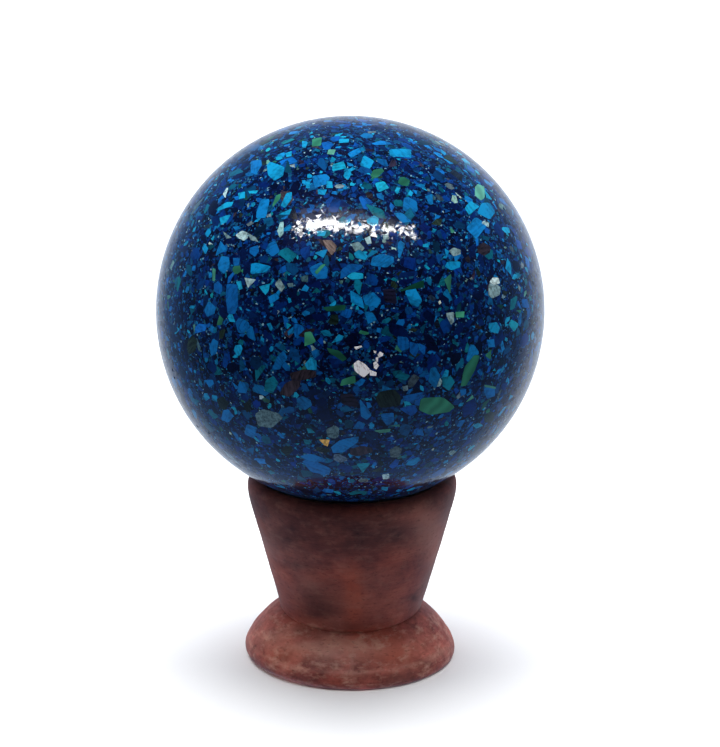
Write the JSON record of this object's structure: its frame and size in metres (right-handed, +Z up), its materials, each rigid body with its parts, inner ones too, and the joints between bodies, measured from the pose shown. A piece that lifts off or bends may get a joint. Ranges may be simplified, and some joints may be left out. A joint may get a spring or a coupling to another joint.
{
  "type": "stone chip ball on a turned stand",
  "caption": "Polished ball of stone chips set in resin, resting in the dish of a small turned wooden stand with a tapered cup and a round foot.",
  "frame": {"origin": "centre of the stand's flat underside, on the surface that it stands on", "axes": "+Z up along the axis that both pieces are turned about; +X to the picture's right, and -Y towards the camera"},
  "size_m": [0.07, 0.07, 0.1009],
  "materials": {
    "stone_resin": "blue, green and grey stone chips cast in navy resin, ground and polished to a high gloss",
    "turned_wood": "turned hardwood stained red brown, with a thin satin finish worn paler at the foot"
  },
  "bodies": {
    "root": {"ball": "stone_resin", "stand": "turned_wood"}
  },
  "joints": []
}
